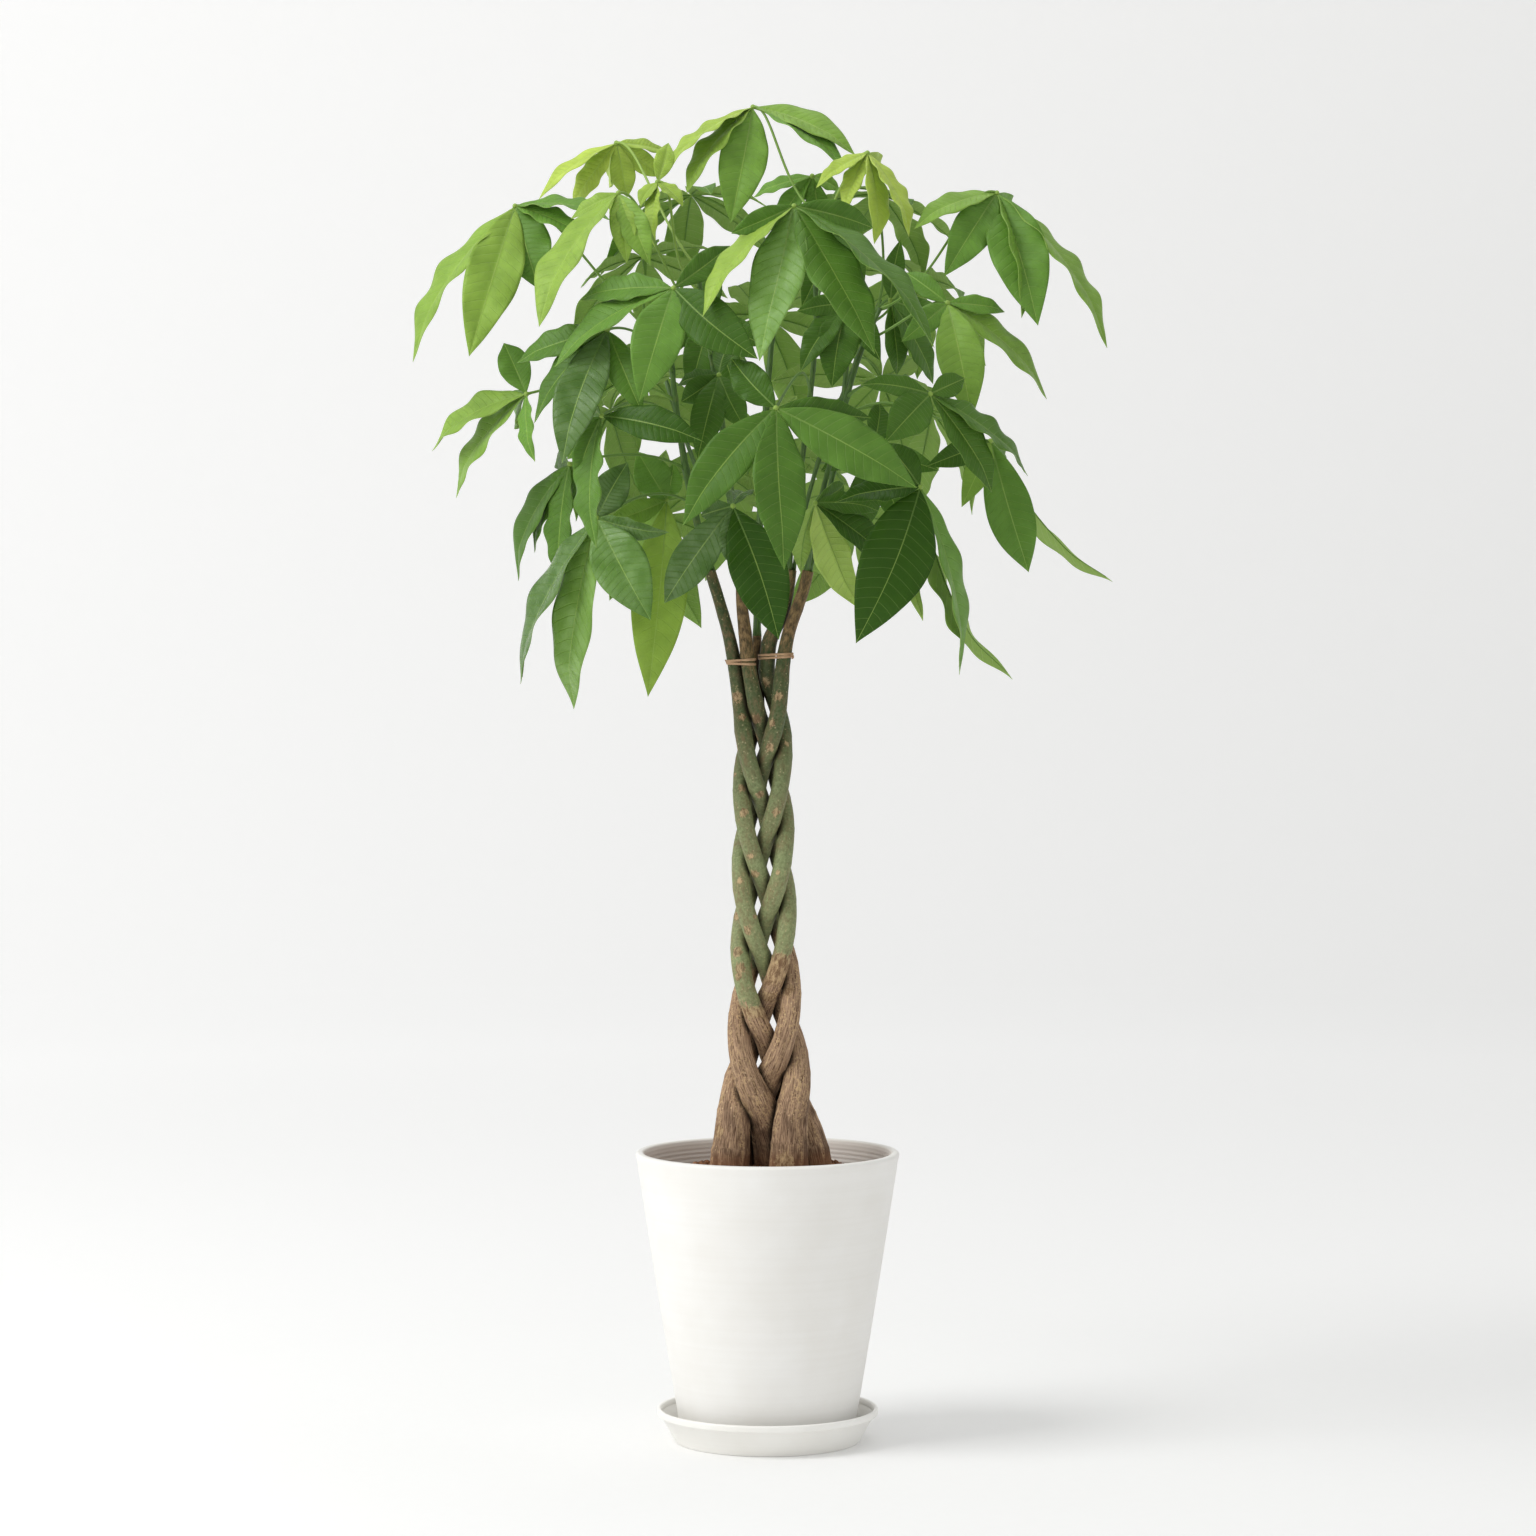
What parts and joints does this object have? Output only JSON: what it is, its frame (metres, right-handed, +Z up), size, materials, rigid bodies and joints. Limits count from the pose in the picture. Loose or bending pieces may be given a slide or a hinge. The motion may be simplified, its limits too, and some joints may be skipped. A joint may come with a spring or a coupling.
{
  "type": "potted money tree",
  "caption": "Braided money tree with hand-shaped compound leaves in a tapered white pot on a saucer.",
  "frame": {"origin": "centre of the saucer's underside", "axes": "+Z up; +X to the right and +Y away as seen from the front"},
  "size_m": [0.7833, 0.7365, 1.5184],
  "materials": {
    "pot_white": "matte",
    "granules": "matte",
    "bark": "matte",
    "raffia": "matte",
    "green_stem": "satin",
    "leaf": "satin"
  },
  "bodies": {
    "root": {"saucer": "pot_white", "pot": "pot_white", "soil": "granules", "trunk_1": "bark", "trunk_2": "bark", "trunk_3": "bark", "trunk_4": "bark", "trunk_5": "bark", "tie_left": "raffia", "tie_right": "raffia", "shoot_1": "green_stem", "shoot_2": "green_stem", "shoot_3": "green_stem", "shoot_4": "green_stem", "shoot_5": "green_stem", "shoot_6": "green_stem", "shoot_7": "green_stem", "shoot_8": "green_stem", "leaf_01": "leaf", "leaf_02": "leaf", "leaf_03": "leaf", "leaf_04": "leaf", "leaf_05": "leaf", "leaf_06": "leaf", "leaf_07": "leaf", "leaf_08": "leaf", "leaf_09": "leaf", "leaf_10": "leaf", "leaf_11": "leaf", "leaf_12": "leaf", "leaf_13": "leaf", "leaf_14": "leaf", "leaf_15": "leaf", "leaf_16": "leaf", "leaf_17": "leaf", "leaf_18": "leaf", "leaf_19": "leaf", "leaf_20": "leaf", "leaf_21": "leaf", "leaf_22": "leaf", "leaf_23": "leaf", "leaf_24": "leaf", "leaf_25": "leaf", "leaf_26": "leaf", "leaf_27": "leaf", "leaf_28": "leaf", "leaf_29": "leaf", "leaf_30": "leaf", "leaf_31": "leaf", "leaf_32": "leaf", "leaf_33": "leaf", "leaf_34": "leaf", "leaf_35": "leaf", "leaf_36": "leaf", "leaf_37": "leaf", "leaf_38": "leaf", "leaf_39": "leaf", "leaf_40": "leaf", "leaf_41": "leaf", "leaf_42": "leaf"}
  },
  "joints": []
}
